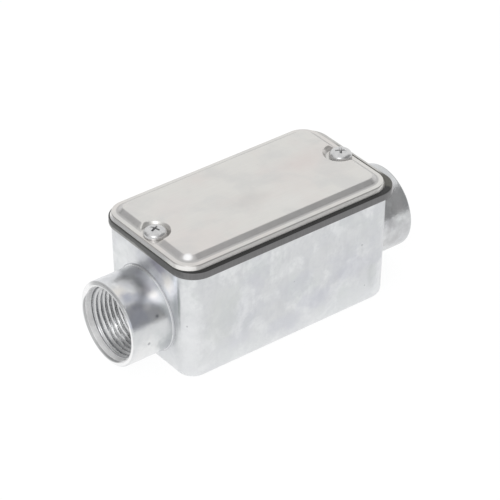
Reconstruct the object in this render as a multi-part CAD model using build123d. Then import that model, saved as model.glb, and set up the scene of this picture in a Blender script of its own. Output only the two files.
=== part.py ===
from build123d import *
import math
import os

# Straight-through conduit body for three-quarter inch pipe: a cast body with a threaded hub at each end,
# a rubber gasket on its rim, a stamped cover and two cross-recess screws.
# Millimetres. X runs along the two hubs, Z is up, and the origin is at the middle of the flat underside.

# Cast body
body_length = 91.8
body_width = 49.6
body_height = 44.0
body_corner = 7.8
casting_draft = 1.4
wall = 2.8
floor_thickness = 3.0
underside_round = 3.1
chamber_round = 2.0

# A small quarter round is drawn as this many flats
round_flats = 2

# Pipe hubs, one at each end on the same axis
hub_height = 19.7
hub_length = 16.8
hub_radius = 15.9
hub_root_fillet = 0.6
hub_root_overlap = 0.3
hub_lip_round = 0.5
mouth_radius = 14.3
mouth_chamfer = 0.5
lead_in_radius = 13.8
lead_in_depth = 3.0
thread_root_radius = 13.3
thread_depth = 16.2
throat_radius = 10.3
throat_round = 1.4

# Screws, and the bosses that take them
screw_inset = 4.9
screw_radius = 1.75
screw_length = 12.7
screw_tip_chamfer = 0.4
head_radius = 4.15
head_height = 2.5
head_round = 1.3
recess_width = 1.1
recess_span = 4.6
recess_depth = 1.5
left_recess_turn = 20.0
right_recess_turn = 55.0
boss_radius = 4.4
tapped_clearance = 0.05
tapped_spare_depth = 1.4

# Gasket
gasket_end_overhang = 1.6
gasket_side_overhang = 1.45
gasket_corner = 9.2
gasket_thickness = 2.8
gasket_inner_lip = 1.2
gasket_end_shift = 0.4
gasket_side_shift = -0.65
gasket_hole_radius = 2.8

# Stamped cover
cover_end_step = 1.6
cover_side_step = 1.55
cover_corner = 7.9
cover_sheet = 1.0
cover_shift = -0.6
cover_hole_radius = 2.8
rim_height = 1.8
rim_flare = 25.0
rim_bend = 0.4
flange_width = 3.5
panel_height = 1.9
panel_slope = 1.4
panel_round = 0.5
screw_well_radius = 4.9

# Places worked out from the sizes above
gasket_length = body_length + 2 * gasket_end_overhang
gasket_width = body_width + 2 * gasket_side_overhang
cover_length = gasket_length - 2 * cover_end_step
cover_width = gasket_width - 2 * cover_side_step
rim_top = body_height
gasket_top = rim_top + gasket_thickness
flange_top = gasket_top + rim_height
screw_x = body_length / 2 - screw_inset
draft_rate = math.tan(math.radians(casting_draft))
end_wall_x = body_length / 2 - (rim_top - hub_height) * draft_rate
mouth_x = end_wall_x + hub_length
thread_end_x = mouth_x - thread_depth
bell_radius = throat_radius + throat_round
throat_inner_x = end_wall_x - wall - bell_radius * draft_rate
tapped_bottom = flange_top - screw_length - tapped_spare_depth
flare_rate = math.tan(math.radians(rim_flare))
rim_foot = cover_sheet / math.cos(math.radians(rim_flare))
hub_axis = Axis((0, 0, hub_height), (1, 0, 0))


def drafted_block(length, width, corner, top, depth):
    """Rounded rectangular block that narrows downwards by the casting's draft."""
    outline = RectangleRounded(length, width, corner)
    return Pos(0, 0, top) * extrude(outline, -depth, taper=casting_draft)


def level_edges(shape, height):
    """The edges that lie level at one height."""
    found = []
    for edge in shape.edges():
        box = edge.bounding_box()
        if abs(box.min.Z - height) < 0.001 and abs(box.max.Z - height) < 0.001:
            found.append(edge)
    return found


def upright_bar(x, radius, low, high):
    """Upright round bar on the centre line, between two heights."""
    return Pos(x, 0, low) * extrude(Circle(radius), high - low)


def quarter_points(start, corner, end):
    """Points along the quarter round from start to end whose tangents meet at the corner."""
    centre = start + end - corner
    points = []
    for step in range(round_flats + 1):
        turn = math.radians(90 * step / round_flats)
        points.append(centre + (start - centre) * math.cos(turn) + (end - centre) * math.sin(turn))
    return points


def turned(points, axis):
    """Solid of revolution of a closed outline given by its corners."""
    outline = make_face(Polyline(*points, close=True))
    return revolve(outline, axis)


def on_hub(x, radius):
    """Point on the right-hand hub's section, at a distance from the hub's axis."""
    return Vector(x, 0, hub_height + radius)


def both_ends(right_hand):
    """The right-hand form together with its mirror image at the other end."""
    return right_hand + mirror(right_hand, Plane.YZ)


def screw_boss():
    """Drafted boss over the throat that hangs from the rim and runs into the right-hand end wall."""
    outline = Circle(boss_radius) + Pos(wall, 0) * Rectangle(2 * wall, 2 * boss_radius)
    return Pos(screw_x, 0, rim_top) * extrude(outline, hub_height - rim_top, taper=-casting_draft)


def chamber_form():
    """Hollow that the core leaves: a drafted pocket round the two screw bosses in its ends."""
    pocket = drafted_block(body_length - 2 * wall, body_width - 2 * wall, body_corner - wall,
                           rim_top, body_height - floor_thickness)
    pocket = chamfer(level_edges(pocket, floor_thickness), chamber_round)
    return pocket - both_ends(screw_boss())


def hub_form():
    """The outside of the right-hand hub, from inside the end wall to its rounded lip."""
    lip = quarter_points(on_hub(mouth_x, hub_radius - hub_lip_round), on_hub(mouth_x, hub_radius),
                         on_hub(mouth_x - hub_lip_round, hub_radius))
    foot_x = end_wall_x - wall
    return turned([on_hub(foot_x, 0), on_hub(mouth_x, 0), *lip, on_hub(foot_x, hub_radius)], hub_axis)


def hub_root():
    """The fillet where the right-hand hub leaves the drafted end wall, as one flat square to that wall.
    The flat runs on into the hub, so that the two surfaces cross."""
    seat = Plane((end_wall_x, 0, hub_height), x_dir=(0, 1, 0), z_dir=(1, 0, -draft_rate))
    foot = Vector(hub_radius + hub_root_fillet, 0, 0)
    tip = foot + Vector(-1, 0, 1) * (hub_root_fillet + hub_root_overlap)
    buried = Vector(0, 0, -wall / 2)
    return seat * turned([buried, foot + buried, foot, tip, Vector(0, 0, tip.Z)], Axis.Z)


def bore_form():
    """What the tools cut in the right-hand hub: chamfered mouth, lead-in, thread wall and belled throat."""
    inner_x = screw_x - 2 * boss_radius
    outer_bell = quarter_points(on_hub(thread_end_x, bell_radius), on_hub(thread_end_x, throat_radius),
                                on_hub(thread_end_x - throat_round, throat_radius))
    inner_bell = quarter_points(on_hub(throat_inner_x + throat_round, throat_radius),
                                on_hub(throat_inner_x, throat_radius), on_hub(throat_inner_x, bell_radius))
    return turned([on_hub(inner_x, 0), on_hub(mouth_x, 0), on_hub(mouth_x, mouth_radius),
                   on_hub(mouth_x - mouth_chamfer, lead_in_radius),
                   on_hub(mouth_x - lead_in_depth, thread_root_radius),
                   on_hub(thread_end_x, thread_root_radius), *outer_bell, *inner_bell,
                   on_hub(inner_x, bell_radius)], hub_axis)


def cast_body():
    """The one-piece casting: drafted box, two hubs, chamber, screw bosses and belled throats."""
    box = drafted_block(body_length, body_width, body_corner, rim_top, body_height)
    box = fillet(level_edges(box, 0), underside_round)
    outside = box + both_ends(hub_form() + hub_root())
    casting = outside - chamber_form() - both_ends(bore_form())
    tapped_hole = upright_bar(screw_x, screw_radius + tapped_clearance, tapped_bottom, rim_top)
    return casting - both_ends(tapped_hole)


def gasket_ring():
    """Flat rubber ring that overhangs the rim, with a lobe and a hole for each screw."""
    window_length = body_length - 2 * wall - 2 * gasket_inner_lip
    window_width = body_width - 2 * wall - 2 * gasket_inner_lip
    window = RectangleRounded(window_length, window_width, body_corner - wall - gasket_inner_lip)
    lobe = Circle(boss_radius + gasket_inner_lip)
    hole = Circle(gasket_hole_radius)
    for side in (-screw_x, screw_x):
        window = window - Pos(side, 0) * lobe + Pos(side, 0) * hole
    outline = RectangleRounded(gasket_length, gasket_width, gasket_corner) - window
    return Pos(gasket_end_shift, gasket_side_shift, rim_top) * extrude(outline, gasket_thickness)


def cover_slab(inset, low, high, drawn_in):
    """Slab of the cover's outline, inset all round, that draws in further towards its top."""
    outline = RectangleRounded(cover_length - 2 * inset, cover_width - 2 * inset, cover_corner - inset)
    lean = math.degrees(math.atan2(drawn_in, high - low))
    return Pos(0, 0, low) * extrude(outline, high - low, taper=lean)


def raised_panel(inset, low):
    """The raised middle of the cover, with its sloping sides and the well round each screw."""
    slope_angle = math.atan2(panel_height, panel_slope)
    foot_inset = inset * math.tan(slope_angle / 2)
    panel = cover_slab(flange_width + foot_inset, low, low + panel_height, panel_slope)
    slope_taper = 90 - math.degrees(slope_angle)
    well = extrude(Circle(screw_well_radius + foot_inset), panel_height, taper=-slope_taper)
    for side in (-screw_x, screw_x):
        panel = panel - Pos(side, 0, low) * well
    return panel


def stamped_cover():
    """Sheet cover with a flared rim, a raised panel and a well for each screw head."""
    bend_start = rim_height - rim_bend
    bend_inset = bend_start * flare_rate
    outside = cover_slab(0, 0, bend_start, bend_inset)
    outside = outside + cover_slab(bend_inset, bend_start, rim_height, rim_bend)
    panel = raised_panel(0, rim_height)
    outside = outside + chamfer(level_edges(panel, rim_height + panel_height), panel_round)
    inner_height = rim_height - cover_sheet
    underside = cover_slab(rim_foot, 0, inner_height, inner_height * flare_rate)
    underside = underside + raised_panel(cover_sheet, inner_height)
    sheet = outside - underside
    for side in (-screw_x, screw_x):
        sheet = sheet - upright_bar(side, cover_hole_radius, 0, rim_height)
    return Pos(cover_shift, 0, gasket_top) * sheet


def cover_screw(x, recess_turn):
    """Pan-head screw with a cross recess, seated on the cover's flange."""
    rounding = quarter_points(Vector(head_radius, 0, head_height - head_round),
                              Vector(head_radius, 0, head_height),
                              Vector(head_radius - head_round, 0, head_height))
    head = turned([Vector(0, 0, 0), Vector(head_radius, 0, 0), *rounding, Vector(0, 0, head_height)], Axis.Z)
    wing = Rectangle(recess_span, recess_width)
    cross = extrude(wing + Rot(0, 0, 90) * wing, -recess_depth)
    head = head - Pos(0, 0, head_height) * Rot(0, 0, recess_turn) * cross
    shank = Pos(0, 0, -screw_length) * extrude(Circle(screw_radius), screw_length)
    shank = chamfer(level_edges(shank, -screw_length), screw_tip_chamfer)
    return Pos(x, 0, flange_top) * (head + shank)


pieces = {
    "conduit_body": cast_body(),
    "gasket": gasket_ring(),
    "cover": stamped_cover(),
    "left_screw": cover_screw(-screw_x, left_recess_turn),
    "right_screw": cover_screw(screw_x, right_recess_turn),
}

os.makedirs("parts", exist_ok=True)
for name, piece in pieces.items():
    export_step(piece, f"parts/{name}.step")
    print(name, round(piece.volume, 1), len(piece.solids()))
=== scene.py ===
# %% [markdown]
# A conduit body is a small metal box in a run of electrical pipe. The box is one aluminium casting
# with a threaded hub at each end. A rubber gasket lies on its rim, and a stamped sheet cover is held
# down by two screws.
#
# The measured parts come from a fixed frame, in metres. This lesson dresses them: it gives the cover
# its soft stamped bends, cuts the threads and builds a finish for each metal and for the rubber.
#
# The frame is loaded first.

# %% Load the measured parts
import math

import bmesh
import bpy
import numpy as np
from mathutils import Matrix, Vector


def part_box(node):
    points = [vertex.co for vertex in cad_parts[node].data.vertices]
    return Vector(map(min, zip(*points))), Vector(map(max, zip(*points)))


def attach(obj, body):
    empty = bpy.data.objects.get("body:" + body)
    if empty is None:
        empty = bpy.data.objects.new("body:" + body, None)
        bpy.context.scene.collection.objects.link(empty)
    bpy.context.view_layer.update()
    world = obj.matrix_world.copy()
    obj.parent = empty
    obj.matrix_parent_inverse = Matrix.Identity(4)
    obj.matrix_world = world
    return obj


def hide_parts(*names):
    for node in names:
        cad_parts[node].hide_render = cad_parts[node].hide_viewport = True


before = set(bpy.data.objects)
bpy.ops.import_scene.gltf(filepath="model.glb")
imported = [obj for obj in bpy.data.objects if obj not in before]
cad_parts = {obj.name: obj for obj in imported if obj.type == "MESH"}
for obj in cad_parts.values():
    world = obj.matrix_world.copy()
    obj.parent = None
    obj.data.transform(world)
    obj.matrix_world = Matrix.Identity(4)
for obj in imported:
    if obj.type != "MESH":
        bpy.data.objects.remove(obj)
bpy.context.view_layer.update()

print("parts:", sorted(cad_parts))

# %% [markdown]
# The camera comes next, so that every later choice can be judged from one place. A long lens far
# from the object keeps its edges nearly parallel, as in a catalogue picture. It is aimed by a turn
# round the vertical, a height above the floor and a point to look at.

# %% Camera
def placed(name, data):
    """New object in the scene, with its camera, lamp or mesh."""
    thing = bpy.data.objects.new(name, data)
    bpy.context.scene.collection.objects.link(thing)
    return thing


azimuth = math.radians(-37.65)
elevation = math.radians(34.30)
look_at = Vector((0.02152, 0.02775, 0.00098))
camera_distance = 1.0348
towards_camera = Vector((math.sin(azimuth) * math.cos(elevation),
                         -math.cos(azimuth) * math.cos(elevation),
                         math.sin(elevation)))

camera_data = bpy.data.cameras.new("camera")
camera_data.lens = 201.1
camera_data.sensor_width = 36.0
camera = placed("camera", camera_data)
camera.location = look_at + towards_camera * camera_distance
camera.rotation_euler = towards_camera.to_track_quat("Z", "Y").to_euler()
bpy.context.scene.camera = camera
bpy.context.scene.view_settings.view_transform = "Standard"
print("camera at", [round(value, 3) for value in camera.location])

# %% [markdown]
# The stage is a pale floor under a white world. Metal has no colour of its own to speak of: it shows
# what stands round it. A white world alone would make every face equally pale, so two grey cards
# stand beside the work, and their reflections draw the bends and the round hubs.
#
# The floor and the world are white to the camera and in reflections, by their own brightness, and
# they light the object at a plain level. The floor keeps a small diffuse share for those rays, so
# the shadow under the object stays. Node sums are written with ordinary signs, through a small
# class, because a formula is easier to read than a chain of nodes.

# %% Sums on node outputs
class Output:
    """A node's output that can stand in a sum, so that a formula reads as it would on paper.
    A comparison gives one where it holds and zero elsewhere."""

    def __init__(self, socket):
        self.socket = socket

    def __add__(self, other):
        return maths("ADD", self, other)

    def __sub__(self, other):
        return maths("SUBTRACT", self, other)

    def __rsub__(self, other):
        return maths("SUBTRACT", other, self)

    def __mul__(self, other):
        return maths("MULTIPLY", self, other)

    def __truediv__(self, other):
        return maths("DIVIDE", self, other)

    def __lt__(self, other):
        return maths("LESS_THAN", self, other)

    def __gt__(self, other):
        return maths("GREATER_THAN", self, other)

    __radd__ = __add__
    __rmul__ = __mul__


# %% Short ways to write nodes
def add_node(tree, kind, inputs=None, **settings):
    """Adds a node, sets its options, and gives each input a value or another node's output.
    Returns the node's own outputs, by number and by name."""
    node = tree.nodes.new(kind)
    for option, value in settings.items():
        setattr(node, option, value)
    for socket, value in (inputs or {}).items():
        if isinstance(value, Output):
            tree.links.new(value.socket, node.inputs[socket])
        else:
            node.inputs[socket].default_value = value
    outputs = [Output(socket) for socket in node.outputs]
    return dict(enumerate(outputs)) | {output.socket.name: output for output in outputs}


def maths(operation, *values):
    """Output of one sum on outputs and plain values: on vectors where the first output is one."""
    first = next(value.socket for value in values if isinstance(value, Output))
    kind = "ShaderNodeVectorMath" if first.type == "VECTOR" else "ShaderNodeMath"
    return add_node(first.id_data, kind, dict(enumerate(values)), operation=operation)[0]


def seen_or_reflected(tree):
    """One for rays from the camera, from a glossy surface or through glass, and zero for all others."""
    rays = add_node(tree, "ShaderNodeLightPath")
    either = maths("MAXIMUM", rays["Is Camera Ray"], rays["Is Glossy Ray"])
    return maths("MAXIMUM", either, rays["Is Transmission Ray"])


def grey(level):
    """A grey colour that isn't see-through."""
    return level, level, level, 1


def emptied(thing):
    """Node tree of a material or a world, without its first nodes."""
    thing.use_nodes = True
    thing.node_tree.nodes.clear()
    return thing.node_tree


def stage_face(name, corners):
    """Object of one four-cornered face that belongs to the stage, with a new material. What glows on
    the stage is never sampled as a lamp."""
    mesh = bpy.data.meshes.new(name)
    mesh.from_pydata(corners, [], [(0, 1, 2, 3)])
    paint = bpy.data.materials.new(name)
    paint.cycles.emission_sampling = "NONE"
    mesh.materials.append(paint)
    face = placed(name, mesh)
    return face


# %% Floor and world
floor_half_size = 4.0
floor_drop = 0.00002
floor_tone = 0.8
floor_glow = 0.91
floor_share = 0.13
world_fill = 0.8

floor_corners = [(x * floor_half_size, y * floor_half_size, -floor_drop)
                 for x, y in ((-1, -1), (1, -1), (1, 1), (-1, 1))]
floor = stage_face("floor", floor_corners)
tree = emptied(floor.active_material)
plain = add_node(tree, "ShaderNodeBsdfDiffuse", {"Color": grey(floor_tone)})[0]
faint = add_node(tree, "ShaderNodeBsdfDiffuse", {"Color": grey(floor_share)})[0]
glow = add_node(tree, "ShaderNodeEmission", {"Strength": floor_glow})[0]
white = add_node(tree, "ShaderNodeAddShader", {0: glow, 1: faint})[0]
choice = add_node(tree, "ShaderNodeMixShader", {0: seen_or_reflected(tree), 1: plain, 2: white})[0]
add_node(tree, "ShaderNodeOutputMaterial", {"Surface": choice})

world = bpy.data.worlds.new("white_studio")
tree = emptied(world)
level = seen_or_reflected(tree) * (1 - world_fill) + world_fill
background = add_node(tree, "ShaderNodeBackground", {"Color": grey(1), "Strength": level})[0]
add_node(tree, "ShaderNodeOutputWorld", {"Surface": background})
bpy.context.scene.world = world
print("floor", 2 * floor_half_size, "m wide, world fill", world_fill)

# %% Grey cards and soft lamp
front_card = {"direction": Vector((0.565, -0.825, 0)), "distance": 0.75,
              "width": 1.5, "height": 1.12, "tone": 0.36}
back_card = {"direction": Vector((-0.73, 0.68, 0)), "distance": 0.40,
             "width": 0.44, "height": 0.34, "tone": 0.42}
lamp_direction = Vector((-0.63, -0.48, 0.62))
lamp_distance = 1.1
lamp_size = 0.42
lamp_power = 1.5


def add_card(name, direction, distance, width, height, tone):
    """Upright card on the floor that faces the object and is seen in reflections alone."""
    across = Vector((0, 0, 1)).cross(direction) * width / 2
    foot = direction * distance
    up = Vector((0, 0, height))
    corners = [foot - across, foot + across, foot + across + up, foot - across + up]
    card = stage_face(name, corners)
    card.visible_camera = card.visible_diffuse = card.visible_shadow = card.visible_transmission = False
    tree = emptied(card.active_material)
    shade = add_node(tree, "ShaderNodeEmission", {"Color": grey(tone)})[0]
    add_node(tree, "ShaderNodeOutputMaterial", {"Surface": shade})


add_card("front_card", **front_card)
add_card("back_card", **back_card)
lamp_data = bpy.data.lights.new("soft_lamp", "AREA")
lamp_data.size = lamp_size
lamp_data.energy = lamp_power
lamp = placed("soft_lamp", lamp_data)
lamp.location = lamp_direction.normalized() * lamp_distance
lamp.rotation_euler = lamp_direction.to_track_quat("Z", "Y").to_euler()
print("cards at", front_card["distance"], "and", back_card["distance"], "m, lamp at", lamp_distance, "m")

# %% [markdown]
# New pieces are grids of points worked out with numpy, in millimetres. A grid is a table of points,
# and each cell between four neighbours becomes one face. Writing whole arrays into a mesh is quick,
# and it keeps the shape in one readable formula.
#
# Where a grid ends in a pole, its last points lie on each other. Merging them closes the mesh, and
# after that Blender can turn every face outwards.

# %% Grids into meshes
MILLIMETRE = 0.001
MERGE_DISTANCE = 1e-6


def node_box(node):
    """Lowest and highest corner of a measured part, in millimetres."""
    low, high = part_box(node)
    return np.array(low) / MILLIMETRE, np.array(high) / MILLIMETRE


def grid_quads(rows, columns, closed):
    """Corner numbers of every cell in a grid whose points are numbered row by row.
    A closed grid also joins its last column to its first."""
    numbers = np.arange(rows * columns).reshape(rows, columns)
    if closed:
        numbers = np.hstack([numbers, numbers[:, :1]])
    corners = [numbers[:-1, :-1], numbers[:-1, 1:], numbers[1:, 1:], numbers[1:, :-1]]
    return np.stack(corners, axis=-1).reshape(-1, 4)


def new_piece(name, points, quads, crease_angle):
    """Mesh object from points in millimetres and quads, merged at its poles and turned outwards.
    Edges sharper than the crease angle, in degrees, stay sharp and all others are shaded smooth."""
    mesh = bpy.data.meshes.new(name)
    mesh.vertices.add(len(points))
    mesh.vertices.foreach_set("co", (points * MILLIMETRE).astype(np.float32).ravel())
    mesh.loops.add(quads.size)
    mesh.loops.foreach_set("vertex_index", quads.astype(np.int32).ravel())
    mesh.polygons.add(len(quads))
    mesh.polygons.foreach_set("loop_start", np.arange(0, quads.size, 4, dtype=np.int32))
    mesh.update(calc_edges=True)
    shell = bmesh.new()
    shell.from_mesh(mesh)
    bmesh.ops.remove_doubles(shell, verts=shell.verts, dist=MERGE_DISTANCE)
    bmesh.ops.recalc_face_normals(shell, faces=shell.faces)
    open_edges = sum(not edge.is_manifold for edge in shell.edges)
    shell.to_mesh(mesh)
    shell.free()
    mesh.shade_smooth()
    mesh.set_sharp_from_angle(angle=math.radians(crease_angle))
    print(name, len(mesh.polygons), "faces,", open_edges, "open edges")
    return placed(name, mesh)


# %% [markdown]
# The cover is sheet metal pressed between two dies, so it has no sharp corner anywhere: the rim
# turns down over a bend, and the raised panel has a soft foot and a soft brow. One height formula
# over a flat grid gives such soft shapes. Two distances are enough: how far a point lies inside the
# outline, and how far it lies outside the well of the nearer screw. The panel rises where both are
# large enough.
#
# A plain minimum of two values leaves a crease. The smooth minimum takes a little more away where
# the two are close, which rounds the crease, and a smooth maximum is the same thing upside down.

# %% Height of the stamped panel
cover_low, cover_high = node_box("cover")
cover_centre = (cover_low + cover_high) / 2
half_length, half_width = (cover_high - cover_low)[:2] / 2
screw_low, screw_high = node_box("right_screw")
screw_reach = (screw_low + screw_high)[0] / 2

cover_corner = 7.9
sheet_thickness = 1.0
rim_height = 1.8
rim_bend = 0.5
under_bend = 0.25
rim_flare = math.radians(19.5)
flange_width = 2.5
panel_height = 1.9
panel_slope = 2.3
well_radius = 4.9
well_slope = 1.2
panel_foot_round = 0.5
panel_brow_round = 0.25
well_edge_round = 0.4
flange_top = cover_low[2] + rim_height
print("cover outline", 2 * half_length, "by", 2 * half_width, "mm, flange top at", round(flange_top, 2))


def smooth_min(first, second, reach):
    """The smaller of two values, with the crease between them rounded over the given reach."""
    closeness = np.maximum(reach - np.abs(first - second), 0)
    return np.minimum(first, second) - closeness ** 2 / (4 * reach)


def outline_inset(x, y):
    """How far a point lies inside the cover's outline: the corner radius less the distance from
    the inner box that the corner circles are centred on."""
    past_x = np.abs(x) - (half_length - cover_corner)
    past_y = np.abs(y) - (half_width - cover_corner)
    outside = np.hypot(np.maximum(past_x, 0), np.maximum(past_y, 0))
    inside = np.minimum(np.maximum(past_x, past_y), 0)
    return cover_corner - outside - inside


def under_draw(slope, inset):
    """How much smaller a form must be on the under face, so that the sheet keeps its thickness on
    the slope: the thickness times the tangent of half the slope's angle."""
    return inset * math.tan(math.atan2(panel_height, slope) / 2)


def panel_rise(x, y, inset):
    """Height above the flange of a face that lies the inset below the sheet's upper face. It grows
    in proportion to the distance inside the panel's foot line and outside each screw well, and is
    held between zero and the panel's full height."""
    inside_edge = outline_inset(x, y) - flange_width - under_draw(panel_slope, inset)
    outside_well = np.hypot(np.abs(x) - screw_reach, y) - well_radius - under_draw(well_slope, inset)
    share = smooth_min(inside_edge / panel_slope, outside_well / well_slope, well_edge_round)
    rise = smooth_min(share * panel_height, panel_height, panel_brow_round)
    return -smooth_min(-rise, 0, panel_foot_round)


# %% [markdown]
# The flat grid must end exactly on a rounded rectangle, because the rim hangs from it. Its rows are
# therefore spaced by equal angles round the corners, and each row is as long as the outline is wide
# there. Only the outer part of a row is drawn in, so the columns stay straight over the middle.
# Cells are small near the screws and the slopes, and large on the flat.

# %% Flat grid inside a rounded rectangle
grid_inset = 2.0
corner_steps = 54
fine_step = 0.22
coarse_step = 1.3
fine_columns_from = 34.0
fine_rows_to = 6.8
straight_columns_to = 26.0


def spaced(start, end, step):
    """Even places from start up to, but without, the end, about one step apart."""
    return np.linspace(start, end, max(1, round((end - start) / step)), endpoint=False)


grid_half_length = half_length - grid_inset
grid_half_width = half_width - grid_inset
grid_corner = cover_corner - grid_inset
corner_x = grid_half_length - grid_corner
corner_y = grid_half_width - grid_corner
corner_turn = np.linspace(0, math.pi / 2, corner_steps)

half_columns = np.concatenate([spaced(0, fine_columns_from, coarse_step),
                               spaced(fine_columns_from, grid_half_length, fine_step), [grid_half_length]])
half_rows = np.concatenate([spaced(0, fine_rows_to, fine_step), spaced(fine_rows_to, corner_y, coarse_step)])
upper_y = np.concatenate([half_rows, corner_y + grid_corner * np.sin(corner_turn)])
upper_reach = np.concatenate([np.full(len(half_rows), grid_half_length),
                              corner_x + grid_corner * np.cos(corner_turn)])
column_x = np.concatenate([-half_columns[:0:-1], half_columns])
row_y = np.concatenate([-upper_y[:0:-1], upper_y])
row_reach = np.concatenate([upper_reach[:0:-1], upper_reach])

past_middle = np.maximum(np.abs(column_x) - straight_columns_to, 0)
drawn = (row_reach[:, None] - straight_columns_to) / (grid_half_length - straight_columns_to)
flat_x = np.sign(column_x) * (np.abs(column_x) - past_middle + past_middle * drawn)
flat_y = np.repeat(row_y[:, None], len(column_x), axis=1)
print("flat grid", flat_x.shape)

# %% [markdown]
# From the edge of the flat grid the sheet runs on as rings: along the flange, round the bend and
# down the rim. Each ring is the grid's edge pushed outwards, square to the outline.
#
# The same rings and rows are used twice, once for the upper face and once for the under face, so
# each open edge of one has its partner in the other. Joining the partners gives a closed sheet with
# its true thickness, also inside the screw holes. Solidify would do this on a gentle shape, but it
# folds over itself where the bend is tighter than the sheet is thick.

# %% Rings that turn the rim down
bend_steps = 9


def edge_numbers(rows, columns):
    """Numbers of the grid's edge points, once round."""
    numbers = np.arange(rows * columns).reshape(rows, columns)
    return np.concatenate([numbers[0, :-1], numbers[:-1, -1], numbers[-1, :0:-1], numbers[:0:-1, 0]])


def outward(x, y):
    """Direction square to the outline: away from the corner's centre, or straight out on a side."""
    away_x = np.sign(x) * np.maximum(np.abs(x) - corner_x, 0)
    away_y = np.sign(y) * np.maximum(np.abs(y) - corner_y, 0)
    length = np.hypot(away_x, away_y)
    return away_x / length, away_y / length


def rim_profile(inset, bend):
    """Insets and heights of the rings, from the flat grid's edge to the rim's foot. The rim leans in
    by the flare, so at a height h above its foot it lies at its foot's inset plus h times the
    flare's tangent. The bend is an arc that touches both the flange and the leaning rim."""
    top = flange_top - inset
    foot = inset / math.cos(rim_flare)
    touch = top - bend + bend * math.sin(rim_flare) - cover_low[2]
    centre = foot + bend * math.cos(rim_flare) + touch * math.tan(rim_flare)
    turn = np.linspace(0, math.pi / 2 - rim_flare, bend_steps)
    arc = centre - bend * np.sin(turn)
    insets = [(grid_inset + centre) / 2, *arc, (arc[-1] + foot) / 2, foot]
    heights = [top, *(top - bend + bend * np.cos(turn)), cover_low[2] + touch / 2, cover_low[2]]
    return np.array(insets), np.array(heights)


# %% One face of the sheet
hole_radius = 2.8
dish_depth = 0.05
dish_reach = (9.0, 7.0)
dish_shift = 0.6


def sheet_face(inset, bend):
    """Points of the upper or the under face: the flat grid at the panel's height, then the rings.
    The panel sags a little in soft waves, which are the product of a cosine along each axis."""
    sag = dish_depth * np.cos(flat_x / dish_reach[0] + dish_shift) * np.cos(flat_y / dish_reach[1])
    rise = panel_rise(flat_x, flat_y, inset)
    grid_z = flange_top - inset + rise - (sag + dish_depth) * (rise / panel_height) / 2
    grid = np.stack([flat_x, flat_y, grid_z], axis=-1).reshape(-1, 3)
    edge = grid[edge_numbers(*flat_x.shape)]
    push_x, push_y = outward(edge[:, 0], edge[:, 1])
    insets, heights = rim_profile(inset, bend)
    push = grid_inset - insets[:, None]
    rings = np.stack([edge[:, 0] + push * push_x, edge[:, 1] + push * push_y,
                      np.repeat(heights[:, None], len(edge), axis=1)], axis=-1)
    return np.concatenate([grid, rings.reshape(-1, 3)])


def face_quads():
    """Cells of the flat grid, without those inside a screw hole, then the cells of the rings."""
    rows, columns = flat_x.shape
    cells = grid_quads(rows, columns, closed=False)
    centre_x = flat_x.reshape(-1)[cells].mean(axis=1)
    centre_y = flat_y.reshape(-1)[cells].mean(axis=1)
    kept = np.hypot(np.abs(centre_x) - screw_reach, centre_y) > hole_radius
    edge = edge_numbers(rows, columns)
    ring_count = len(rim_profile(0, rim_bend)[0])
    ring_numbers = rows * columns + np.arange(ring_count * len(edge)).reshape(ring_count, -1)
    rings = np.vstack([edge, ring_numbers])
    turned = np.roll(rings, -1, axis=1)
    ring_quads = np.stack([rings[1:], turned[1:], turned[:-1], rings[:-1]], axis=-1).reshape(-1, 4)
    return np.concatenate([cells[kept], ring_quads])


# %% Both faces, stitched along their open edges
def open_edges_of(quads):
    """Edges that only one quad uses, each in that quad's direction."""
    edges = np.stack([quads, np.roll(quads, -1, axis=1)], axis=-1).reshape(-1, 2)
    edges = edges[edges[:, 0] != edges[:, 1]]
    names = np.sort(edges, axis=1)
    _, index, count = np.unique(names, axis=0, return_index=True, return_counts=True)
    return edges[index[count == 1]]


def round_the_holes(points, rims):
    """Moves the points on a hole's ragged edge straight out or in, onto the hole's circle."""
    near = np.unique(rims)
    side = np.sign(points[near, 0])
    from_x = points[near, 0] - side * screw_reach
    distance = np.hypot(from_x, points[near, 1])
    inner = distance < hole_radius + fine_step * 2
    near, side, from_x, distance = near[inner], side[inner], from_x[inner], distance[inner]
    points[near, 0] = side * screw_reach + from_x * hole_radius / distance
    points[near, 1] = points[near, 1] * hole_radius / distance


quads = face_quads()
rims = open_edges_of(quads)
upper = sheet_face(0, rim_bend)
under = sheet_face(sheet_thickness, under_bend)
round_the_holes(upper, rims)
round_the_holes(under, rims)
stitches = np.stack([rims[:, 1], rims[:, 0], rims[:, 0] + len(upper), rims[:, 1] + len(upper)], axis=-1)
cover_points = np.concatenate([upper, under]) + [cover_centre[0], 0, 0]
cover_quads = np.concatenate([quads, quads[:, ::-1] + len(upper), stitches])
cover = new_piece("stamped_cover", cover_points, cover_quads, crease_angle=50)
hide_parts("cover")
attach(cover, "cover")

# %% [markdown]
# A pan-head screw is turned, so it is a profile carried once round an axis. Two things break the
# symmetry, and each is a formula over the same grid: the cross recess lowers the crown, and the
# thread swells the shank along a helix.

# %% Screw profile
screw_columns = 192
crown_rows = (48, 8)
edge_rows = 9
head_radius = 4.15
head_height = screw_high[2] - flange_top
crown_power = 2.7
crown_fine_to = 2.6
side_height = 0.3
seat_radii = [head_radius, 3.6, 2.6]
seat_heights = [0.06, 0, 0]
shank_radius = 1.75
thread_root = 1.36
thread_pitch = 0.794
thread_step = 0.1
thread_crest_flat = 0.08
run_out_from = 0.3
run_out_length = 0.9
tip_chamfer = 0.4
tip_radius = 0.7
shank_length = flange_top - screw_low[2]
print("head", round(head_height, 2), "mm high, shank", round(shank_length, 2), "mm long")


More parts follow.
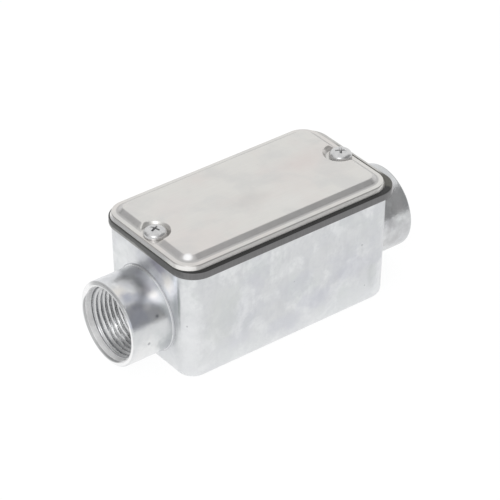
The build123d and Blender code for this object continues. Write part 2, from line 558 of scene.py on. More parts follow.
def screw_profile():
    """Radii and heights from the middle of the crown, over its edge, under the head and down the
    shank to the tip. The crown is a superellipse, which is flatter on top than a circle."""
    crown_radius = np.concatenate([np.linspace(0, crown_fine_to, crown_rows[0]),
                                   np.linspace(crown_fine_to, head_radius, crown_rows[1])[1:-1]])
    crown_turn = np.arcsin((crown_radius / head_radius) ** (crown_power / 2))
    edge_turn = np.linspace(crown_turn[-1], math.pi / 2, edge_rows)[1:]
    turn = np.concatenate([crown_turn, edge_turn])
    radii = head_radius * np.sin(turn) ** (2 / crown_power)
    heights = side_height + (head_height - side_height) * np.maximum(np.cos(turn), 0) ** (2 / crown_power)
    shank_rows = np.linspace(0, -shank_length, round(shank_length / thread_step) + 1)
    radii = np.concatenate([radii, seat_radii, np.full(len(shank_rows), shank_radius), [tip_radius, 0]])
    heights = np.concatenate([heights, seat_heights, shank_rows, [-shank_length] * 2])
    return radii, heights


# %% Cross recess and screw thread
recess_half_span = 2.0
recess_half_width = 0.42
recess_depth = 1.4
recess_side_run = 0.22
recess_end_run = 1.3
recess_round = 0.3


def arm_depth(along, across):
    """Depth of one arm, from zero to one: steep at its sides and sloping at its ends."""
    from_side = (recess_half_width - np.abs(across)) / recess_side_run
    from_end = (recess_half_span - np.abs(along)) / recess_end_run
    return np.clip(smooth_min(from_side, from_end, recess_round), 0, 1)


def recess_fraction(x, y, turn):
    """Depth of the cross recess, from zero to one, at a distance from the screw's axis."""
    along = x * math.cos(turn) + y * math.sin(turn)
    across = y * math.cos(turn) - x * math.sin(turn)
    return np.maximum(arm_depth(along, across), arm_depth(across, along))


def thread_ridge(phase, flat):
    """A V-shaped ridge once in each whole phase, from zero at its foot to one at its flat crest."""
    triangle = 1 - np.abs(2 * (phase % 1) - 1)
    return np.clip((triangle - flat) / (1 - 2 * flat), 0, 1)


# %% Build both screws
left_recess_turn = 20
right_recess_turn = 55


def build_screw(name, x, turn_degrees):
    """The profile carried round the screw's axis, with its recess sunk and its thread raised. The
    thread runs out under the head, and a chamfer holds it down at the tip."""
    radii, heights = screw_profile()
    angle = np.linspace(0, 2 * math.pi, screw_columns, endpoint=False)
    radius, around = np.meshgrid(radii, angle, indexing="ij")
    height = np.repeat(heights[:, None], screw_columns, axis=1)
    on_shank = (radius == shank_radius)
    ridge = thread_ridge(height / thread_pitch - around / (2 * math.pi), thread_crest_flat)
    run_out = np.clip((-height - run_out_from) / run_out_length, 0, 1)
    threaded = thread_root + (shank_radius - thread_root) * (1 - run_out * (1 - ridge))
    to_tip = np.clip((shank_length + height) / tip_chamfer, 0, 1)
    threaded = np.minimum(threaded, shank_radius - tip_chamfer + tip_chamfer * to_tip)
    radius = np.where(on_shank, threaded, radius)
    sunk = recess_fraction(radius * np.cos(around), radius * np.sin(around), math.radians(turn_degrees))
    sunk = np.where(height > side_height, sunk, 0)
    points = np.stack([x + radius * np.cos(around), radius * np.sin(around),
                       flange_top + height - recess_depth * sunk], axis=-1)
    piece = new_piece(name, points.reshape(-1, 3), grid_quads(*radius.shape, closed=True), crease_angle=42)
    return piece


left_screw = build_screw("left_pan_screw", -screw_reach, left_recess_turn)
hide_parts("left_screw")
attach(left_screw, "left_screw")
right_screw = build_screw("right_pan_screw", screw_reach, right_recess_turn)
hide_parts("right_screw")
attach(right_screw, "right_screw")

# %% [markdown]
# Each hub has a tapered pipe thread behind a plain lead-in. The thread is a sleeve whose bore
# swells inwards along a helix. A right-hand helix is the same formula at both ends: it moves one
# pitch along X for each turn about X. The sleeve's outer wall is sunk just behind the casting's
# bore, so no gap shows between the two.

# %% Hub threads
body_low, body_high = node_box("conduit_body")
hub_height = 19.7
hub_thread_from = 2.5
hub_thread_phase = 0.4
hub_thread_to = 16.2
hub_thread_root = 13.26
hub_sleeve_back = 13.4
hub_crest_depth = 0.95
hub_crest_flat = 0.07
hub_thread_taper = 1 / 32
hub_thread_pitch = 1.814
hub_thread_step = 0.13
hub_columns = 216
thread_lead = 1.6


def build_hub_thread(name, mouth_x, inwards):
    """Sleeve with a helical ridge: its radius is the root's, less the ridge and less a taper that
    grows with the depth. Its rows run along the thread, then back along its outer wall, and the last
    row meets the first."""
    row_count = round((hub_thread_to - hub_thread_from) / hub_thread_step)
    depth = np.linspace(hub_thread_from, hub_thread_to, row_count)
    angle = np.linspace(0, 2 * math.pi, hub_columns, endpoint=False)
    deep, around = np.meshgrid(depth, angle, indexing="ij")
    x = mouth_x + inwards * deep
    ridge = thread_ridge(x / hub_thread_pitch - around / (2 * math.pi) - hub_thread_phase, hub_crest_flat)
    lead_in = np.clip((deep - hub_thread_from) / thread_lead, 0, 1)
    taper = hub_thread_taper * (deep - hub_thread_from)
    radius = hub_thread_root - lead_in * (hub_crest_depth * ridge + taper)
    x = np.vstack([x, x[-1:], x[:1]])
    around = np.vstack([around, around[:2]])
    radius = np.vstack([radius, np.full((2, hub_columns), hub_sleeve_back)])
    points = np.stack([x, radius * np.cos(around), hub_height + radius * np.sin(around)], axis=-1)
    rows = np.concatenate([points, points[:1]]).reshape(-1, 3)
    piece = new_piece(name, rows, grid_quads(len(points) + 1, hub_columns, closed=True), crease_angle=60)
    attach(piece, "base")
    return piece


left_thread = build_hub_thread("left_hub_thread", body_low[0], 1)
right_thread = build_hub_thread("right_hub_thread", body_high[0], -1)

# %% [markdown]
# Every finish reads the place of a point on its own piece, in millimetres, so a size in a material
# is a real size. Effects that several finishes share are node groups with named sockets: clouds of
# tone, a soft stain at one place, and fine grain with pits.

# %% Node groups with named sockets
def new_group(name, **inputs):
    """Empty node group with named inputs and their usual values, and what its nodes are given."""
    group = bpy.data.node_groups.new(name, "ShaderNodeTree")
    for socket_name, value in inputs.items():
        kind = "NodeSocketVector" if isinstance(value, tuple) else "NodeSocketFloat"
        group.interface.new_socket(socket_name, in_out="INPUT", socket_type=kind).default_value = value
    return group, add_node(group, "NodeGroupInput")


def put_out(group, **results):
    """Names a group's outputs and links them."""
    for socket_name in results:
        group.interface.new_socket(socket_name, in_out="OUTPUT", socket_type="NodeSocketFloat")
    add_node(group, "NodeGroupOutput", results)


def use(group, place, **inputs):
    """Places a node group with its own values, and returns its outputs."""
    return add_node(place.socket.id_data, "ShaderNodeGroup", {"Place": place, **inputs}, node_tree=group)


def noise(given, scale, **inputs):
    """Noise at the place that a group is given."""
    return add_node(scale.socket.id_data, "ShaderNodeTexNoise",
                    {"Vector": given["Place"], "Scale": scale, **inputs})[0]


def stepped(value, low, high):
    """Zero below low, one above high, and a smooth step between them."""
    return add_node(value.socket.id_data, "ShaderNodeMapRange",
                    {"Value": value, "From Min": low, "From Max": high}, interpolation_type="SMOOTHSTEP")[0]


def between(value, rise, fall):
    """One between two smooth steps, each given by its two ends, and zero beyond them."""
    return stepped(value, *rise) * (1 - stepped(value, *fall))


# %% Clouds of tone
clouds, given = new_group("tone_clouds", Place=(0, 0, 0), Scale=0.1, Warp=0.5, Low=0.4, High=0.6)
swirl = noise(given, given["Scale"], Detail=4, Roughness=0.55, Distortion=given["Warp"])
put_out(clouds, Mask=stepped(swirl, given["Low"], given["High"]))

# %% Soft stain at one place
stain, given = new_group("soft_stain", Place=(0, 0, 0), Centre=(0, 0, 0), Reach=(5, 5, 5),
                         Ragged=0.6, Core=0.4, Grain=0.3)
ratio = (given["Place"] - given["Centre"]) / given["Reach"]
distance = add_node(stain, "ShaderNodeVectorMath", {0: ratio}, operation="LENGTH")["Value"]
ragged = (noise(given, given["Grain"], Detail=4, Roughness=0.6) - 0.5) * given["Ragged"]
put_out(stain, Mask=1 - stepped(distance + ragged, given["Core"], 1))

# %% Fine grain with pits
grain, given = new_group("grain_and_pits", Place=(0, 0, 0), Grain=2.0, Spacing=3.0, Size=0.12, Share=0.25)
coarse = noise(given, given["Grain"], Detail=5, Roughness=0.65)
cell = add_node(grain, "ShaderNodeTexVoronoi",
                {"Vector": given["Place"], "Scale": maths("DIVIDE", 1, given["Spacing"])})
lot = add_node(grain, "ShaderNodeSeparateColor", {0: cell["Color"]})[0]
pits = (1 - stepped(cell["Distance"], given["Size"], given["Size"] * 2)) * (lot < given["Share"])
put_out(grain, Height=coarse - pits, Pits=pits)
print("node groups:", [group.name for group in bpy.data.node_groups])


# %% Start and end of a finish
def new_finish(name):
    """Empty material, and the place of a point on its piece in millimetres."""
    finish = bpy.data.materials.new(name)
    tree = emptied(finish)
    place = add_node(tree, "ShaderNodeTexCoord")["Object"]
    scaled = {0: place, "Scale": 1 / MILLIMETRE}
    return finish, add_node(tree, "ShaderNodeVectorMath", scaled, operation="SCALE")[0]


def close_finish(finish, colour, roughness, height, relief, metallic, specular=0.5):
    """Bump and shader: the relief is the height, in metres, that a height of one stands for."""
    tree = finish.node_tree
    bump = add_node(tree, "ShaderNodeBump", {"Height": height, "Distance": relief})[0]
    shader = add_node(tree, "ShaderNodeBsdfPrincipled",
                      {"Base Color": colour, "Roughness": roughness, "Metallic": metallic,
                       "Specular IOR Level": specular, "Normal": bump})[0]
    add_node(tree, "ShaderNodeOutputMaterial", {"Surface": shader})
    return finish


def dress(piece, finish):
    """Gives a piece one finish in all its material slots."""
    if not piece.material_slots:
        piece.data.materials.append(finish)
    for slot in piece.material_slots:
        slot.material = finish


# %% Layers of tint
def axes(place):
    """The three coordinates of a place."""
    parts = add_node(place.socket.id_data, "ShaderNodeSeparateXYZ", {0: place})
    return parts[0], parts[1], parts[2]


def cloud_mask(place, **cloud):
    """Mask of the clouds of tone."""
    return use(clouds, place, **cloud)["Mask"]


def stain_layers(place, *stains, within=1, **edge):
    """Layers of soft stains within a mask. Each stain is its centre, reach, tint and strength."""
    return [(use(stain, place, Centre=centre, Reach=reach, **edge)["Mask"] * within, tint, strength)
            for centre, reach, tint, strength in stains]


def layered(colour, *layers):
    """The colour under a stack of layers. Each layer is a mask, a tint and a strength: it moves the
    colour towards its tint where its mask is strong."""
    for mask, tint, strength in layers:
        inputs = {0: mask * strength, 6: colour, 7: (*tint, 1)}
        colour = add_node(mask.socket.id_data, "ShaderNodeMix", inputs, data_type="RGBA")[2]
    return colour


# %% [markdown]
# The casting came out of a steel mould and was tumbled. Its skin is bright but uneven: cooling
# metal left bluish and greenish clouds, handling left smudges, and a few gas pits opened. The hubs
# were bored and threaded afterwards, so the bore is cleaner, brighter and finely ringed. The lip of
# a hub was rubbed bright. A ring round the mouth, the lip's crown, the lip's outer front edge and
# the crease at each hub's root are painted dark as shade.
#
# The clouds cover the whole skin. The smudges that give this piece its own face are stains, each
# with a place, a reach and a tint. Some stains are painted shade: bluish dark patches on the left
# hub's upper front are painted reflections of the grey card, and a dark band on the end wall under
# the gasket is a painted shadow. A tint is always written with its strength.

# %% Skin of the casting
casting_tone = (0.655, 0.665, 0.675, 1)
bluish = (0.57, 0.58, 0.63), 0.55
greenish = (0.62, 0.655, 0.64), 0.50
whitish = (0.84, 0.85, 0.855), 0.50
streaked = (0.57, 0.58, 0.595), 0.34
mottled = (0.56, 0.57, 0.595), 0.30
# Paler towards the bottom of the casting.
paler_bottom = (0.86, 0.87, 0.88), 0.45
foot_heights = (1.0, 17.0)
green_shift = (31.0, 7.0, 53.0)
white_shift = (91.0, 17.0, 13.0)
streak_stretch = (1.0, 1.0, 0.22)
casting_stains_and_painted_shade = [
    ((-58, -13, 13), (9, 9, 11), (0.82, 0.82, 0.82), 0.8),
    ((-46, 10, 32), (3, 18, 16), (0.84, 0.85, 0.86), 0.6),
    ((-43, -22.5, 18), (6, 6, 26), (0.80, 0.81, 0.82), 0.6),
    # Painted reflections of the grey card: bluish dark patches on the left hub's upper front, here and in
    # the next line.
    ((-57.5, -12.6, 28), (8, 5, 5.5), (0.46, 0.49, 0.60), 0.6),
    ((-54, -10.5, 31.5), (6, 5, 4.5), (0.43, 0.45, 0.55), 0.5),
    ((-49.5, -11, 31), (3, 5, 5), (0.60, 0.60, 0.66), 0.5),
    ((-49.6, -8.2, 33.3), (4, 4, 4), (0.88, 0.875, 0.87), 0.65),
    ((-53.6, -11.9, 30.2), (3, 3, 3), (0.90, 0.90, 0.92), 0.6),
    ((-48.3, 2, 35.5), (3, 7, 2.5), (0.45, 0.45, 0.50), 0.4),
    ((-60, -5, 34.8), (5, 6, 3), (0.74, 0.71, 0.66), 0.6),
    # Painted reflection of the grey card: a bluish dark patch near the left hub's mouth.
    ((-58.8, -7.2, 33.9), (3.8, 3.6, 3.6), (0.36, 0.38, 0.45), 0.8),
    ((-52.3, -13.7, 27.8), (3.6, 3, 3.2), (0.66, 0.67, 0.70), 0.6),
    ((-47.6, -6.6, 34.1), (2.6, 3.2, 3), (0.80, 0.80, 0.84), 0.6),
    ((-46, -11.2, 31), (2, 3, 3.5), (0.52, 0.53, 0.56), 0.5),
    ((-51.1, -14.4, 26.6), (0.9, 0.9, 0.9), (0.20, 0.21, 0.24), 0.7),
    ((-55.8, -15.8, 17.7), (0.8, 0.8, 0.8), (0.25, 0.26, 0.28), 0.6),
    # Painted shadow: a dark band on the end wall just under the gasket.
    ((-45.8, -8, 41.5), (2.5, 8, 4), (0.40, 0.39, 0.46), 0.75),
    ((-45.7, -13.5, 38), (2.5, 4.5, 5.5), (0.86, 0.84, 0.79), 0.8),
    ((-45.5, -17.4, 29), (2.5, 2.4, 8), (0.46, 0.49, 0.50), 0.7),
    ((-45.4, -19.1, 32), (1.6, 0.8, 13), (0.36, 0.38, 0.38), 0.8),
    ((-4, -24.1, 8), (12, 3, 5), (0.54, 0.55, 0.60), 0.45),
    ((12, -24.2, 13), (13, 3, 6), (0.53, 0.54, 0.60), 0.45),
    ((27, -24.3, 19.5), (13, 3, 6), (0.54, 0.55, 0.60), 0.45),
    ((24, -24.3, 33), (16, 3, 8), (0.58, 0.59, 0.60), 0.45),
    ((36.3, -24.2, 13), (3, 3, 8), (0.52, 0.54, 0.54), 0.5),
    ((31.5, -24.4, 27.1), (0.8, 1, 0.8), (0.30, 0.31, 0.33), 0.6),
    ((-30, -24.3, 24), (9, 3, 16), (0.62, 0.64, 0.62), 0.45),
    ((56, -9, 19), (12, 16, 18), (0.47, 0.47, 0.475), 0.85),
    ((57.5, -13.5, 27), (3.5, 4, 5), (0.72, 0.72, 0.73), 0.6),
    ((53, -9, 33), (4, 6, 4), (0.40, 0.39, 0.40), 0.5),
    ((54.5, -14.5, 21.5), (6, 4, 4), (0.38, 0.38, 0.39), 0.5),
    ((55, 2, 35.5), (8, 11, 3), (0.50, 0.51, 0.48), 0.7),
    ((50.5, -10.8, 31.4), (3.4, 4.5, 4.5), (0.24, 0.24, 0.25), 0.6),
    ((58.5, -10, 31), (4, 7, 8), (0.66, 0.66, 0.67), 0.7),
    ((52, -15.1, 24.6), (2.5, 3, 4), (0.34, 0.34, 0.35), 0.5),
]
stain_edge = {"Ragged": 1.2, "Core": 0.2, "Grain": 0.22}


def casting_skin(place):
    """Colour of the cast skin: the base tone, clouds of three tints, upright streaks, a mottle, a
    paler band towards the bottom, then the stains, some of which are painted shade."""
    return layered(
        casting_tone,
        (cloud_mask(place, Scale=0.07, Warp=0.35, Low=0.42, High=0.68), *bluish),
        (cloud_mask(place + green_shift, Scale=0.06, Warp=0.3, Low=0.46, High=0.70), *greenish),
        (cloud_mask(place + white_shift, Scale=0.12, Warp=0.4, Low=0.46, High=0.66), *whitish),
        (cloud_mask(place * streak_stretch, Scale=0.35, Warp=0.2, Low=0.45, High=0.72), *streaked),
        (cloud_mask(place, Scale=0.6, Warp=0.3, Low=0.44, High=0.68), *mottled),
        (1 - stepped(axes(place)[2], *foot_heights), *paler_bottom),
        *stain_layers(place, *casting_stains_and_painted_shade, **stain_edge))


# %% Places on a hub
def across_hub(place):
    """Distance from the hubs' axis, and distance from the middle of the body, in millimetres."""
    x, y, z = axes(place)
    above = z - hub_height
    return maths("SQRT", y * y + above * above), maths("ABSOLUTE", x)


def hub_side(place, radius, turn):
    """One on the given side of the hubs' axis and zero a quarter turn away from it. The turn, in
    degrees, starts at the front and goes over the top."""
    turn = math.radians(turn)
    x, y, z = axes(place)
    return ((z - hub_height) * math.sin(turn) - y * math.cos(turn)) / radius


# %% Lip of a hub
lip_from = 61.5
rubbed_lip = (0.93, 0.93, 0.93), 0.9
# The lip's outer front edge, a ring round the mouth and the lip's crown are painted shade.
shaded_lip_front = (-12.0, -4.0)
shaded_lip_edge = (15.1, 15.5)
painted_lip_shade = (0.42, 0.425, 0.43), 0.95
ring_from = 13.82
ring_to = 13.5
ring_swell = 1.4
ring_blur = 0.2
low_side = 230
low_share = (0.0, 0.85)
crown_side = 82
crown_share = (0.55, 0.85)
crown_from = (14.35, 14.65)


def lip_layers(place, radius, along):
    """The lip is rubbed bright, but its outer edge in front keeps the cast tone as painted shade.
    A painted dark ring of shade lies round the mouth and is wider low down, and the lip's crown is
    painted dark as shade over its whole outer part."""
    lip = (along > lip_from) * (radius > ring_from)
    front_edge_shade = (1 - stepped(axes(place)[1], *shaded_lip_front)) * stepped(radius, *shaded_lip_edge)
    past_ring = radius - (stepped(hub_side(place, radius, low_side), *low_share) * ring_swell + ring_to)
    crown = stepped(hub_side(place, radius, crown_side), *crown_share) * stepped(radius, *crown_from)
    ring = maths("MAXIMUM", 1 - stepped(past_ring, -ring_blur, ring_blur), crown)
    return [(lip * (1 - front_edge_shade), *rubbed_lip), (lip * ring, *painted_lip_shade)]


# %% Cast finish
bore_radius = 14.35
hub_radius = 16.7
hub_from = 45.2
hub_root = ((16.1, 16.2), (16.6, 16.7))
# Painted shade in the crease at each hub's root, on the fillet between the hub and the end wall.
painted_root_shade = (0.46, 0.47, 0.49), 0.8
bored_bright = (0.99, 0.99, 0.99), 1
cast_pits = (0.36, 0.37, 0.39), 0.6
cast_rough = 0.30
cast_rough_spread = 0.09
hub_polish = 0.13
bore_rough = 0.2
tool_mark_pitch = 0.22
tool_mark_height = 0.06
cast_relief = 0.00005


def make_cast_finish():
    """Cast skin outside, and a bored surface with fine rings inside the hubs."""
    finish, place = new_finish("cast_aluminium_skin")
    radius, along = across_hub(place)
    past_wall = along > hub_from
    bored = (radius < bore_radius) * past_wall
    polished = (radius < hub_radius) * past_wall
    marks = use(grain, place, Grain=1.6, Spacing=5.5, Size=0.045, Share=0.2)
    colour = layered(casting_skin(place), (marks["Pits"], *cast_pits), (bored, *bored_bright),
                     *lip_layers(place, radius, along), (between(radius, *hub_root) * past_wall, *painted_root_shade))
    uneven = cloud_mask(place, Scale=0.3, Warp=0.8, Low=0.3, High=0.7)
    rough = cast_rough + uneven * cast_rough_spread - polished * hub_polish + bored * bore_rough
    rings = maths("SINE", along * (2 * math.pi / tool_mark_pitch)) * bored * tool_mark_height
    height = marks["Height"] * (1 - bored) + rings
    return close_finish(finish, colour, rough, height, cast_relief, metallic=0.95)


dress(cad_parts["conduit_body"], make_cast_finish())

# %% [markdown]
# A thread is cut after the casting is cleaned, so its crests are bright. The foot of each groove
# is painted dark as shade, and low in the left bore one patch is painted paler as light, with less
# of that painted shade.

# %% Cut threads
thread_tone = (0.62, 0.625, 0.63, 1)
# Painted light on a patch low in the left bore, and painted shade at the foot of each groove.
painted_bore_light = (0.88, 0.885, 0.89), 0.8
painted_light_patch = {"Centre": (-53.0, 6.2, 8.6), "Reach": (4.5, 5.0, 4.0), "Ragged": 0.3}
light_patch_share = 0.75
painted_groove_shade = (0.16, 0.165, 0.18), 0.85
groove_foot = (hub_thread_root - 0.5, hub_thread_root - 0.1)
torn = (0.56, 0.57, 0.59), 0.2
first_groove_paler = (0.74, 0.745, 0.75), 0.6
first_groove_at = body_high[0] - hub_thread_from
first_groove = (first_groove_at - 1.2, first_groove_at - 0.2)
thread_rough = 0.24
thread_rough_spread = 0.06
thread_relief = 0.000004


def make_thread_finish():
    """Bright cut metal with painted shade at the foot of each groove, less of it in a patch of painted
    light low in the left bore, and paler in the first groove."""
    finish, place = new_finish("cut_thread")
    radius, along = across_hub(place)
    tears = cloud_mask(place, Scale=0.9, Warp=0.5, Low=0.4, High=0.7)
    lit_patch = use(stain, place, **painted_light_patch)["Mask"]
    foot = stepped(radius, *groove_foot) * (1 - lit_patch * light_patch_share)
    colour = layered(thread_tone, (lit_patch, *painted_bore_light), (foot, *painted_groove_shade), (tears, *torn),
                     (stepped(along, *first_groove), *first_groove_paler))
    marks = use(grain, place, Grain=3.0, Spacing=4.0, Size=0.05, Share=0.1)
    rough = thread_rough + tears * thread_rough_spread
    return close_finish(finish, colour, rough, marks["Height"], thread_relief, metallic=1)


thread_finish = make_thread_finish()
dress(left_thread, thread_finish)
dress(right_thread, thread_finish)

# %% [markdown]
# The cover was stamped from rolled sheet. Rolling leaves faint lines along its length, the die
# leaves a smooth, slightly warm skin, and storage leaves soft pinkish and grey clouds. Light and
# shade are painted on its forms: the drawn slope, the rim's bend and the slope's toe are painted
# dark, the turned-down rim is painted pale, but for its left end, which is painted dark, and one
# corner of the panel carries a painted highlight.
#
# The forms of a stamped sheet lie at their own heights, so height alone tells them apart.

# %% Stamped sheet
sheet_tone = (0.705, 0.695, 0.67, 1)
pinkish = (0.70, 0.645, 0.625), 0.45
greyish = (0.60, 0.60, 0.595), 0.50
grey_shift = (47.0, 5.0, 21.0)
rolled = (0.60, 0.59, 0.57), 0.16
rolling_stretch = (0.03, 1.0, 1.0)
rolling_height = 0.5
sheet_stains = [
    ((26, 4, 50.5), (12, 8, 3), (0.66, 0.60, 0.58), 0.5),
    ((-4, -5, 50.5), (11, 7, 3), (0.58, 0.565, 0.55), 0.5),
    ((-28, 8, 50.5), (12, 9, 3), (0.70, 0.665, 0.65), 0.5),
    ((6, -14, 50.5), (16, 5, 3), (0.72, 0.71, 0.69), 0.4),
]
# Painted highlight on the slope at the panel's near corner.
painted_corner_highlight = ((-41.4, -19.3, 49.6), (2.2, 2, 1.6), (0.93, 0.93, 0.935), 0.95)
sheet_marks = (0.45, 0.44, 0.43), 0.5
sheet_rough = 0.29
sheet_rough_spread = 0.08
sheet_relief = 0.000006

# %% Painted light and shade on the sheet's forms, with their heights over the flange or over the panel
# Painted light on the turned-down rim, and painted shade on its left end.
painted_rim_light = (0.88, 0.87, 0.85), 0.8
rim_top = (-0.55, -0.35)
painted_rim_end_shade = (0.50, 0.50, 0.505), 0.75
rim_end_inset = (0.6, 1.2)
rim_end_from = (-17.0, -11.0)
# Painted dark reflection on the rim's bend.
painted_bend_shade = (0.45, 0.44, 0.43), 0.45
bend_heights = ((-0.5, -0.3), (-0.14, -0.05))
# Painted shade on the drawn slope, away from the wells.
painted_slope_shade = (0.47, 0.465, 0.47), 0.6
slope_foot = (0.03, 0.15)
slope_brow = (-0.35, -0.12)
slope_well_gap = (6.2, 7.2)
# Painted shade in the crease at the slope's toe.
painted_toe_shade = (0.40, 0.395, 0.39), 0.5
toe_heights = ((0.005, 0.06), (0.3, 0.7))


def from_screw(place, shift):
    """Distance from the nearer screw's axis, for a piece slid along X by the shift."""
    x, y, z = axes(place)
    along = maths("ABSOLUTE", x - shift) - screw_reach
    return maths("SQRT", along * along + y * y)


# %% Sheet finish
def make_sheet_finish():
    """Warm grey sheet: clouds, rolling lines and stains, then painted light and shade on its forms."""
    finish, place = new_finish("stamped_sheet")
    x, y, z = axes(place)
    over_flange = z - flange_top
    rim = 1 - stepped(over_flange, *rim_top)
    rim_end = (1 - stepped(x - cover_low[0], *rim_end_inset)) * stepped(y, *rim_end_from)
    slope = stepped(over_flange, *slope_foot) * (1 - stepped(z - cover_high[2], *slope_brow))
    past_well = stepped(from_screw(place, cover_centre[0]), *slope_well_gap)
    lines = cloud_mask(place * rolling_stretch, Scale=2.2, Warp=0.0, Low=0.3, High=0.7)
    marks = use(grain, place, Grain=3.0, Spacing=6.0, Size=0.03, Share=0.12)
    colour = layered(
        sheet_tone,
        (cloud_mask(place, Scale=0.05, Warp=0.3, Low=0.42, High=0.66), *pinkish),
        (cloud_mask(place + grey_shift, Scale=0.07, Warp=0.3, Low=0.44, High=0.68), *greyish),
        (lines, *rolled),
        *stain_layers(place, *sheet_stains, Core=0.1),
        (rim, *painted_rim_light),
        (rim * rim_end, *painted_rim_end_shade),
        (between(over_flange, *bend_heights), *painted_bend_shade),
        (slope * past_well, *painted_slope_shade),
        *stain_layers(place, painted_corner_highlight, Ragged=0.2, Core=0.45),
        (between(over_flange, *toe_heights), *painted_toe_shade),
        (marks["Pits"], *sheet_marks))
    uneven = cloud_mask(place, Scale=0.25, Warp=0.8, Low=0.3, High=0.7)
    rough = sheet_rough + uneven * sheet_rough_spread
    height = marks["Height"] + lines * rolling_height
    return close_finish(finish, colour, rough, height, sheet_relief, metallic=0.96)


dress(cover, make_sheet_finish())

# %% [markdown]
# The gasket was punched from rubber sheet. Its upper and lower faces keep the dark, smooth skin of
# the sheet, made darker still as painted shade under the cover's rim, and its cut side is paler and
# matt, with faint upright marks of the punch. The ledge past the cover's far end is painted paler
# and olive as light, the near end is painted darker as shade, the near end's side carries a painted
# reflection low down, and the side at the far front corner is painted paler as light. The upper
# edge is worn pale along the back and round the far end. Punching also rounds the edges a little,
# which a small bevel draws.

# %% Gasket rubber
gasket_low, gasket_high = node_box("gasket")
rubber_side = (0.19, 0.188, 0.19, 1)
bloomed = (0.20, 0.20, 0.20), 0.5
punched = (0.13, 0.13, 0.132), 0.3
punch_stretch = (1.0, 1.0, 0.05)
# The faces' own dark skin, made darker still as painted shade under the cover's rim.
dark_skin_and_painted_shade = (0.006, 0.006, 0.006), 0.95
upper_skin = (-0.12, -0.02)
lower_skin = (0.02, 0.12)
# Painted light: the ledge past the cover's far end is paler and olive.
painted_far_ledge_light = ((48.5, -12, 46.8), (6.2, 30, 6), (0.115, 0.113, 0.099), 0.9)
# Painted shade on the gasket's near end.
painted_near_end_shade = ((-47.2, 0, 46), (3, 27, 3), (0.08, 0.082, 0.078), 0.7)
# Painted light on the gasket's side at the far front corner.
painted_far_corner_light = ((46.5, -23, 45.3), (4, 6, 3), (0.60, 0.585, 0.60), 0.9)
# Painted reflection of the floor, low on the near end's side.
painted_end_reflection = ((-47.2, 10, 43.9), (3, 22, 1.5), (0.38, 0.38, 0.37), 0.8)
rubber_rough = 0.30
rubber_rough_spread = 0.12
rubber_relief = 0.00002
rubber_shine = 0.28

# %% Worn upper edge of the gasket
worn_pale = (0.72, 0.71, 0.69), 0.85
worn_heights = (-1.2, -0.6)
far_end_x = (30.0, 38.0)
far_end_y = (4.0, 13.0)
back_edge = (-0.6, -0.4)
end_edge = (-1.15, -0.85)
end_edge_y = (-17.0, -13.0)


def worn_edge(place):
    """One on the upper edge along the back, round the far corner and along the far end."""
    x, y, z = axes(place)
    far_end = stepped(x, *far_end_x)
    back = stepped(y - gasket_high[1], *back_edge) * (1 - far_end)
    end = stepped(x - gasket_high[0], *end_edge) * stepped(y, *end_edge_y)
    edge = maths("MAXIMUM", back, maths("MAXIMUM", far_end * stepped(y, *far_end_y), end))
    return edge * stepped(z - gasket_high[2], *worn_heights)


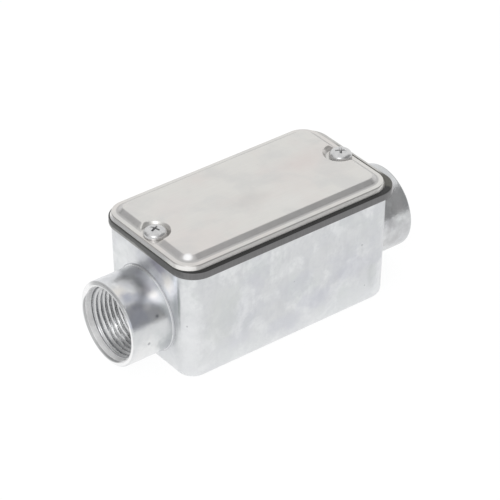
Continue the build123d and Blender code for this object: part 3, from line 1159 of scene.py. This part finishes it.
# %% Rubber finish
def make_rubber_finish():
    """Paler cut side and dark faces, told apart by height, with bloom, painted light and shade, worn edges
    and fine grain.
    """
    finish, place = new_finish("gasket_rubber_skin")
    z = axes(place)[2]
    upper = stepped(z - gasket_high[2], *upper_skin)
    lower = 1 - stepped(z - gasket_low[2], *lower_skin)
    bloom = cloud_mask(place, Scale=0.25, Warp=0.8, Low=0.4, High=0.7)
    lines = cloud_mask(place * punch_stretch, Scale=2.5, Warp=0.0, Low=0.35, High=0.65)
    colour = layered(
        rubber_side,
        (bloom, *bloomed),
        (lines, *punched),
        (maths("MAXIMUM", upper, lower), *dark_skin_and_painted_shade),
        *stain_layers(place, painted_far_ledge_light, within=upper, Core=0.8),
        *stain_layers(place, painted_near_end_shade, Core=0.7),
        *stain_layers(place, painted_far_corner_light, within=1 - upper, Core=0.4),
        *stain_layers(place, painted_end_reflection, Core=0.7),
        (worn_edge(place), *worn_pale))
    marks = use(grain, place, Grain=4.0, Spacing=2.0, Size=0.08, Share=0.1)
    rough = rubber_rough + bloom * rubber_rough_spread
    height = marks["Height"] + lines
    return close_finish(finish, colour, rough, height, rubber_relief, metallic=0, specular=rubber_shine)


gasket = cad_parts["gasket"]
dress(gasket, make_rubber_finish())

# %% Soft edges of the gasket
gasket_edge_round = 0.4
gasket_edge_angle = 60

gasket.modifiers.new("joined_faces", "WELD").merge_threshold = MERGE_DISTANCE
softened = gasket.modifiers.new("soft_edges", "BEVEL")
softened.width = gasket_edge_round * MILLIMETRE
softened.segments = 3
softened.limit_method = "ANGLE"
softened.angle_limit = math.radians(gasket_edge_angle)
softened.use_clamp_overlap = False
softened.loop_slide = False
gasket.modifiers.new("flat_faces", "WEIGHTED_NORMAL").keep_sharp = True

# %% [markdown]
# The screws are steel with a thin bright zinc coat, which is slightly uneven. The driver's recess
# is painted darker.

# %% Zinc-coated screws
zinc_tone = (0.63, 0.63, 0.63, 1)
zinc_cloudy = (0.44, 0.44, 0.45), 0.4
darker_recess = (0.24, 0.24, 0.25), 0.45
darker_recess_reach = recess_half_span + 0.2
darker_recess_heights = (-0.9, -0.25)
head_foot = 0.5
zinc_rough = 0.27
zinc_rough_spread = 0.08
recess_rough = 0.3
zinc_relief = 0.00002


def make_zinc_finish():
    """Bright zinc that is dark in the recess, told by height and distance from the screw's axis."""
    finish, place = new_finish("bright_zinc")
    height = axes(place)[2] - flange_top
    sunk = 1 - stepped(height - head_height, *darker_recess_heights)
    in_recess = (from_screw(place, 0) < darker_recess_reach) * sunk * (height > head_foot)
    uneven = cloud_mask(place, Scale=0.7, Warp=0.8, Low=0.4, High=0.65)
    colour = layered(zinc_tone, (uneven, *zinc_cloudy), (in_recess, *darker_recess))
    rough = zinc_rough + uneven * zinc_rough_spread + in_recess * recess_rough
    marks = use(grain, place, Grain=4.0, Spacing=1.5, Size=0.05, Share=0.15)
    return close_finish(finish, colour, rough, marks["Height"], zinc_relief, metallic=1)


zinc_finish = make_zinc_finish()
dress(left_screw, zinc_finish)
dress(right_screw, zinc_finish)
print("finishes:", sorted(finish.name for finish in bpy.data.materials if finish.users))
